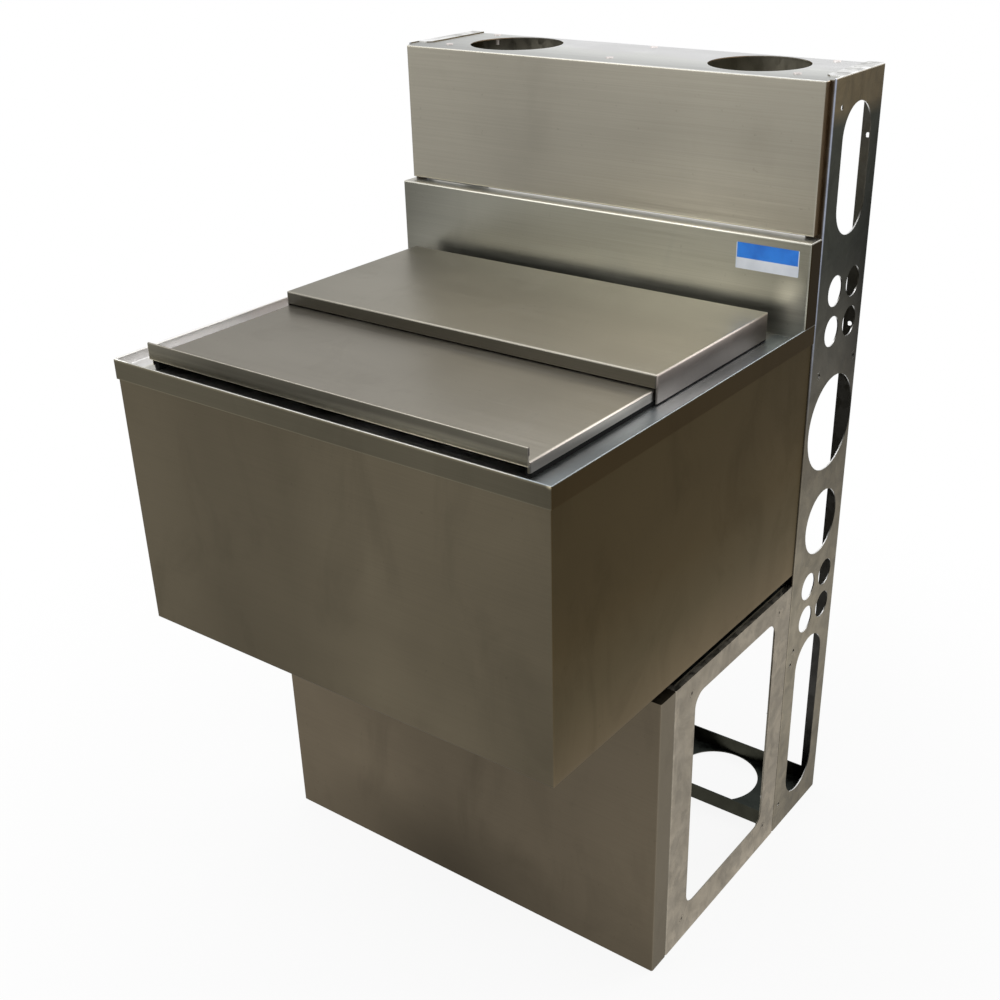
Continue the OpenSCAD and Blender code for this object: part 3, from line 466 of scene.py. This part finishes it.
def cover_materials():
    """The two covers in painted light and shade per face, with a painted line of light along the right bend
    of each.
    """
    front_low, front_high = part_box("front_cover")
    rear_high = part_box("rear_cover")[1]
    front_sheet_z = 0.7675
    # painted highlights along the right bend of each cover
    bend_highlight_size = (0.003, 0.16, 0.01)
    front_bend_highlight = ((front_high.x, -0.2, front_sheet_z), bend_highlight_size, 1.2)
    rear_bend_highlight = ((rear_high.x + 0.001, 0.03, rear_high.z), bend_highlight_size, 1.0)
    # front cover: top painted lighter towards the right, with the painted highlight along the right bend
    front_top = Tone(
        (0.36, 0.337, 0.292),
        x=[(-0.27, 0.85), (0.05, 0.97), (0.27, 1.2)],
        patches=[front_bend_highlight],
    )
    front_side = Tone((0.355, 0.32, 0.29), patches=[front_bend_highlight])
    # lip face: painted shade, lighter towards its foot, with a painted light patch low at the right
    lip = Tone(
        (0.090, 0.084, 0.066),
        x=[(-0.27, 1.8), (-0.15, 0.9), (0.05, 0.9), (0.27, 1.3)],
        z=[(0.762, 3.6), (0.766, 2.7), (0.770, 1.6), (0.775, 1.0)],
        patches=[((0.13, front_low.y, 0.766), (0.22, WIDE, 0.012), 1.7)],
    )
    # rear cover: top painted lighter towards the right and back, front flange painted shade, painted
    # highlight along the right bend
    rear_top = Tone(
        (0.40, 0.378, 0.325),
        x=[(-0.27, 0.8), (0.05, 1.0), (0.27, 1.15)],
        y=[(-0.06, 1.1), (0.04, 1.15), (0.15, 1.33)],
        patches=[rear_bend_highlight],
    )
    rear_front = Tone((0.13, 0.122, 0.1), x=[(-0.27, 0.62), (-0.1, 0.64), (0.05, 0.74), (0.2, 1.0)])
    rear_side = Tone((0.37, 0.32, 0.29), patches=[rear_bend_highlight])
    return {
        "front_cover": brushed("steel_front_cover", front_top, lip, front_side, edge_wear_and_highlight=0.15),
        "rear_cover": brushed("steel_rear_cover", rear_top, rear_front, rear_side, edge_wear_and_highlight=0.2),
    }


# ---------- materials of the wall ----------


def web_highlight_mask(n, place):
    """Mask of the painted highlight strip on a side plate's web, beside the wall's front, fading out
    downwards.
    """
    strip_w, strip_fade = 0.002, 0.0025
    gone_z, whole_z = 0.60, 0.84
    _, y, z = n.xyz(place)
    strip_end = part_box("wall_side_plate_right")[0].y + strip_w
    wide = n.span(y, strip_end, strip_end + strip_fade, 1.0, 0.0)
    tall = n.span(z, gone_z, whole_z)
    return n.times(n.times(wide, tall), n.facing()[0])


def panel_materials():
    """The upper panel with its top, and the backsplash, in painted light and shade: bright tops, darker
    fronts, near black sides and painted light patches.
    """
    panel_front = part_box("upper_panel")[0].y
    splash_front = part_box("backsplash")[0].y
    # top: painted light, darker towards the left and front
    cap = Tone(
        (0.95, 0.96, 0.93),
        x=[(-0.3, 0.72), (-0.15, 0.97), (0.1, 1.05), (0.3, 1.0)],
        y=[(0.195, 0.72), (0.26, 1.0), (0.33, 1.2)],
    )
    # panel front: painted shade across x and z, with a painted light patch low at the right
    panel = Tone(
        (0.28, 0.262, 0.215),
        x=[(-0.3, 1.05), (-0.1, 0.94), (0.15, 1.2), (0.3, 1.12)],
        z=[(0.87, 0.95), (1.0, 1.0), (1.035, 1.05)],
        patches=[((0.17, panel_front, 0.87), (0.32, WIDE, 0.11), 0.6)],
    )
    # panel return: painted shade, darkest at the front bend and lighter further back
    panel_side = Tone(
        (0.25, 0.177, 0.105),
        y=stops_from(panel_front, (0.0, 0.2), (0.003, 0.5), (0.0055, 1.0), (0.0105, 1.5)),
    )
    # backsplash front: painted light rising towards the right, with a painted highlight near its right end
    splash = Tone(
        (0.30, 0.2945, 0.248),
        x=[(-0.3, 0.58), (-0.2, 0.97), (-0.1, 1.12), (0.0, 1.45), (0.1, 1.77), (0.2, 1.88), (0.3, 1.27)],
        z=[(0.77, 0.93), (0.79, 1.0), (0.82, 0.83), (0.86, 0.8)],
        patches=[((0.285, splash_front, 0.79), (0.03, WIDE, 0.05), 1.1)],
    )
    # backsplash top painted light, its sides painted shade
    splash_top, splash_side = Tone((0.7, 0.68, 0.62)), Tone((0.025, 0.017, 0.0075))
    return {
        "panel": brushed("steel_panel", cap, panel, panel_side, edge_wear_and_highlight=0.0),
        "splash": brushed("steel_splash", splash_top, splash, splash_side, edge_wear_and_highlight=0.1),
    }


def wall_materials():
    """Galvanised sheets of the wall in painted light and shade, and the ones inside it, some of these
    painted near black as shade.
    """
    wall_low, wall_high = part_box("wall_side_plate_right")
    # painted highlight along the top of the front flange
    top_edge_highlight = ((0.0, wall_low.y + 0.019, wall_high.z - 0.0007), (WIDE, 0.02, 0.0014), (0.9, 0.9, 0.88))
    # top faces painted light
    wall_top = Tone((0.95, 0.95, 0.93))
    # front flange: painted shade, darker towards the bottom and bluer towards the back
    flange = Tone(
        (0.06, 0.045, 0.03),
        y=[(0.21, 1.0), (0.33, (2.7, 3.5, 4.8))],
        z=[(0.1, 0.35), (0.6, 0.4), (0.78, 0.5), (0.9, 0.9), (1.0, 1.0)],
        patches=[top_edge_highlight],
    )
    # web: painted light and shade, lighter brown at the top, bluish lower down, with a painted shade patch
    web = Tone(
        (0.27, 0.24, 0.185),
        y=[(0.22, 1.0), (0.33, 0.82)],
        z=[
            (0.0, 0.85),
            (0.33, 1.2),
            (0.55, 0.66),
            (0.70, (0.38, 0.40, 0.43)),
            (0.84, (0.16, 0.187, 0.2)),
            (0.985, (0.18, 0.21, 0.22)),
            (1.005, (0.5, 0.45, 0.36)),
        ],
        patches=[((wall_high.x, 0.36, 0.80), (WIDE, 0.1, 0.26), -0.6)],
    )
    # painted bluish highlight strip on the web, beside the wall's front
    strip = (web_highlight_mask, (0.3, 0.325, 0.4))
    # inner sheets: painted shade, darker towards the bottom
    inside = Tone((0.16, 0.15, 0.12), z=[(0.0, 0.6), (1.0, 1.2)])
    # sheets seen only in shade, painted near black
    dark = (Tone((0.03, 0.034, 0.03)), Tone((0.04, 0.04, 0.03)), Tone((0.10, 0.095, 0.08)))
    return {
        "wall": galvanised("zinc_wall", wall_top, flange, web, strip=strip),
        "inner": galvanised("zinc_inner", inside, inside, inside),
        "shaded_inner": galvanised("zinc_dark", *dark),
    }


# ---------- materials of the bin and its base ----------


def rim_material():
    """The rim in painted light and shade: its sunk ledge, its apron and the inside of its raised edge."""
    rim_low, rim_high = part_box("rim_frame")
    ledge_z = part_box("backsplash")[0].z
    # painted cool reflection on the right ledge
    cool_reflection = (0.78, 0.87, 0.97)
    # ledge: painted white reflection at the left, painted light at the sunk level, painted shade patches at
    # the right and a painted light patch at the front
    ledge = Tone(
        (0.45, 0.445, 0.42),
        x=[(-0.285, 2.0), (-0.275, 1.0), (0.262, 1.0), (0.27, cool_reflection), (0.3, cool_reflection)],
        z=stops_from(ledge_z, (0.001, 1.35), (0.010, 1.0)),
        patches=[
            ((0.275, 0.03, ledge_z), (0.03, 0.15, 0.01), -0.6),
            ((0.28, -0.25, ledge_z), (0.04, 0.16, 0.01), -0.6),
            ((0.11, -0.303, ledge_z), (0.16, 0.016, 0.01), 1.5),
        ],
    )
    # painted glint at the front right corner, and painted highlights along the apron's lower and upper
    # bends
    corner_glint = (rim_high.x - 0.001, rim_low.y + 0.001, rim_high.z - 0.0008)
    lower_bend_highlight = stops_from(rim_low.z, (-0.0005, 1.6), (0.0015, 1.0))
    upper_bend_highlight = stops_from(rim_high.z, (-0.003, 1.0), (-0.0015, 1.7))
    apron = Tone(
        (0.092, 0.082, 0.058),
        x=[(-0.3, 1.1), (0.0, 0.95), (0.15, 1.0), (0.3, 0.82)],
        z=lower_bend_highlight + upper_bend_highlight,
        patches=[(corner_glint, (0.007, 0.007, 0.004), 3.0)],
    )
    # side faces painted near black as shade, with a painted white reflection on the inner face of the left
    # raised edge
    left_inside_reflection = (rim_low.x + 0.003, -0.07, rim_high.z - 0.005)
    rim_side = Tone(
        (0.043, 0.030, 0.014),
        patches=[(left_inside_reflection, (0.0016, 1.5, 0.05), (1.0, 0.98, 0.96))],
    )
    return brushed("steel_rim", ledge, apron, rim_side, edge_wear_and_highlight=0.3)


def painted_recess_shade():
    """Painted shade in the drives of the flush screws in the base's side plates."""
    head_r, drive_r, recess_shade = 0.005, 0.0036, -0.92
    low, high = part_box("base_side_screws")
    rows = (low.y + head_r, high.y - head_r)
    levels = (low.z + head_r, high.z - head_r)
    return [((0.0, y, z), (ENDLESS, drive_r, drive_r), recess_shade) for y in rows for z in levels]


def bin_materials():
    """Shell and liner of the bin, and its base, in painted light and shade per face."""
    shell_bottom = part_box("bin_shell")[0].z
    base_front_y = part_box("base_front_panel")[0].y
    # fronts painted shade varying across x; sides painted darker still, lighter and bluer towards the
    # bottom as painted light
    underside = Tone((0.09, 0.075, 0.052))
    shell_front = Tone(
        (0.111, 0.094, 0.064),
        x=[(-0.3, 1.08), (-0.17, 0.86), (-0.05, 0.87), (0.07, 1.13), (0.3, 0.97)],
    )
    shell_side = Tone(
        (0.062, 0.046, 0.023),
        y=[(-0.33, 0.95), (0.2, 1.15)],
        z=[
            (shell_bottom, (2.8, 2.95, 3.7)),
            (0.43, (2.45, 2.57, 3.1)),
            (0.5, (1.68, 1.78, 2.0)),
            (0.58, 1.25),
            (0.66, 1.0),
            (0.75, 0.88),
        ],
    )
    # base front: painted shade across x and z, with a painted shadow low in the middle
    base_front = Tone(
        (0.112, 0.092, 0.064),
        x=[(-0.3, 1.25), (-0.17, 1.2), (-0.03, 0.95), (0.19, 0.93), (0.3, 1.02)],
        z=[(0.0, 0.95), (0.12, 1.1), (0.4, 0.97)],
        patches=[((-0.03, base_front_y, 0.0), (0.27, WIDE, 0.17), -0.42)],
    )
    base_flank = Tone((0.18, 0.155, 0.115))
    liner = Tone((0.5, 0.49, 0.46))
    # side plates: painted light near the floor
    plate = (0.335, 0.297, 0.238)
    plate_z = [(0.0, 1.25), (0.03, 1.0), (0.36, 1.0), (0.4, 0.95)]
    plate_edges = (Tone((0.25, 0.23, 0.19)), Tone((0.22, 0.2, 0.16)))
    plate_face = Tone(plate, z=plate_z)
    screw_face = Tone(plate, z=plate_z, patches=painted_recess_shade())
    soft_steel = {"edge_wear_and_highlight": 0.0, "cloud": 0.08}
    return {
        "rim": rim_material(),
        "shell": brushed("steel_shell", underside, shell_front, shell_side, rough=0.38, **soft_steel),
        "base": brushed("steel_base", underside, base_front, base_flank, rough=0.4, **soft_steel),
        "base_side": galvanised("zinc_base", *plate_edges, plate_face, mottle=0.15),
        "flush_screw": galvanised("flush_screw", *plate_edges, screw_face, mottle=0.15),
        "liner": brushed("steel_liner", liner, liner, liner, axis=2),
    }


# ---------- materials of the small parts ----------


def small_materials():
    """Drain fittings, fasteners, glides, insulation and the tag."""
    black = (0.012, 0.012, 0.012)
    return {
        "fitting": plain_metal("steel_fitting", (0.6, 0.59, 0.56), rough=0.28),
        "plated": plain_metal("plated_fastener", (0.30, 0.29, 0.26), rough=0.35),
        "top_screw": plain_metal("top_screw", (0.8, 0.74, 0.72), rough=0.4),
        "brass": plain_metal("brass_fitting", (0.62, 0.46, 0.20), rough=0.3),
        "rubber": matt("gasket_rubber", (0.03, 0.03, 0.03), rough=0.7, scale=300.0, depth=0.0002),
        "plastic": matt("black_plastic", black, rough=0.8, scale=400.0, depth=0.0001, shine=0.1),
        "foam": matt("foam_board", (0.75, 0.68, 0.46), rough=0.9, scale=500.0, depth=0.0006),
        "tag": tag_material(),
    }


# ---------- dressing the nodes ----------

NODES_IN = {
    "front_cover": ["front_cover"],
    "rear_cover": ["rear_cover"],
    "rim": ["rim_frame"],
    "shell": ["bin_shell"],
    "liner": ["ice_liner"],
    "foam": ["insulation_boards"],
    "splash": ["backsplash"],
    "tag": ["blank_tag"],
    "panel": ["upper_panel"],
    "wall": ["wall_side_plate_right", "wall_side_plate_left", "side_inserts"],
    "base": ["base_front_panel"],
    "base_side": ["base_side_plate_right", "base_side_plate_left"],
    "flush_screw": ["base_side_screws"],
    "top_screw": ["top_screws"],
    "inner": [
        "bin_bottom_pan", "bin_back_panel", "wall_rail_front", "wall_rail_middle", "wall_rail_rear",
        "base_rail_front", "base_rail_rear", "floor_brackets",
    ],
    "shaded_inner": ["wall_bottom_plate", "bin_support_right", "bin_support_left"],
    "plated": ["base_panel_screws", "bin_wall_bolts", "bin_wall_nuts", "base_wall_bolts", "base_wall_nuts"],
    "fitting": ["drain_cup", "drain_strainer"],
    "brass": ["drain_locknut", "drain_tailpiece"],
    "rubber": ["drain_gasket"],
    "plastic": ["front_cover_glides", "rear_cover_glides"],
}


def make_materials():
    return {
        **cover_materials(),
        **panel_materials(),
        **wall_materials(),
        **bin_materials(),
        **small_materials(),
    }


def dress_nodes(materials):
    for key, names in NODES_IN.items():
        for name in names:
            slots = nodes[name].data.materials
            slots.clear()
            slots.append(materials[key])


# ---------- studio ----------

WHITE = (1, 1, 1, 1)
# Strength of the world's light on the object
WORLD_LIGHT = 0.7
# Floor's radius in metres, its tone, and how far it lies below the object
FLOOR_RADIUS = 6.0
FLOOR_TONE = (0.9, 0.9, 0.9, 1)
FLOOR_DROP = 0.0005
# The floor shows its shadow up to the first radius and is plain white from the second
SHADOW_RADIUS = 0.55
SHADOW_END = 1.3
# Share of plain white in the floor near the object
NEAR_WHITE = 0.9
# Point that the lamps look at
LAMP_TARGET = Vector((0, 0, 0.55))


def make_world():
    """Soft even light; the camera, gloss and glass see plain white."""
    world = bpy.data.worlds.new("studio")
    bpy.context.scene.world = world
    world.use_nodes = True
    n = Nodes(world.node_tree)
    light = n.plain("ShaderNodeBackground", WHITE, Strength=WORLD_LIGHT)
    white = n.plain("ShaderNodeBackground", WHITE, Strength=1.0)
    n.finish_mix("ShaderNodeOutputWorld", n.seen(), light, white)


def floor_material():
    """Pale floor that keeps a soft shadow near the object and turns white further out."""
    material, n = new_material("studio_floor")
    x, y, _ = n.xyz(n.place())
    far = n.math("SQRT", n.sum(n.times(x, x), n.times(y, y)))
    keep = n.span(far, SHADOW_RADIUS, SHADOW_END, NEAR_WHITE, 1.0)
    matt_floor = n.plain("ShaderNodeBsdfDiffuse", FLOOR_TONE)
    white = n.plain("ShaderNodeEmission", WHITE, Strength=1.0)
    n.finish_mix("ShaderNodeOutputMaterial", n.times(n.seen(), keep), matt_floor, white)
    return material


def make_floor():
    mesh = bpy.data.meshes.new("floor")
    shape = bmesh.new()
    bmesh.ops.create_circle(shape, cap_ends=True, segments=96, radius=FLOOR_RADIUS)
    shape.to_mesh(mesh)
    shape.free()
    mesh.materials.append(floor_material())
    floor = bpy.data.objects.new("floor", mesh)
    floor.location.z = -FLOOR_DROP
    bpy.context.scene.collection.objects.link(floor)


def add_lamp(name, direction, distance, size, watts):
    """Square soft lamp that looks at the object's middle from a direction."""
    data = bpy.data.lights.new(name, "AREA")
    data.shape = "SQUARE"
    data.size = size
    data.energy = watts
    lamp = bpy.data.objects.new(name, data)
    place = LAMP_TARGET + Vector(direction).normalized() * distance
    turn = (place - LAMP_TARGET).to_track_quat("Z", "Y").to_matrix().to_4x4()
    lamp.matrix_world = Matrix.Translation(place) @ turn
    bpy.context.scene.collection.objects.link(lamp)


def make_lamps():
    add_lamp("key", (-0.53, -0.46, 0.71), distance=2.6, size=1.1, watts=18)
    add_lamp("fill", (0.46, 0.71, 0.53), distance=2.6, size=0.9, watts=9)
    add_lamp("top", (0.0, 0.0, 1.0), distance=2.4, size=1.2, watts=8)


make_camera()
dress_nodes(make_materials())
make_world()
make_floor()
make_lamps()
bpy.context.scene.view_settings.view_transform = "Standard"
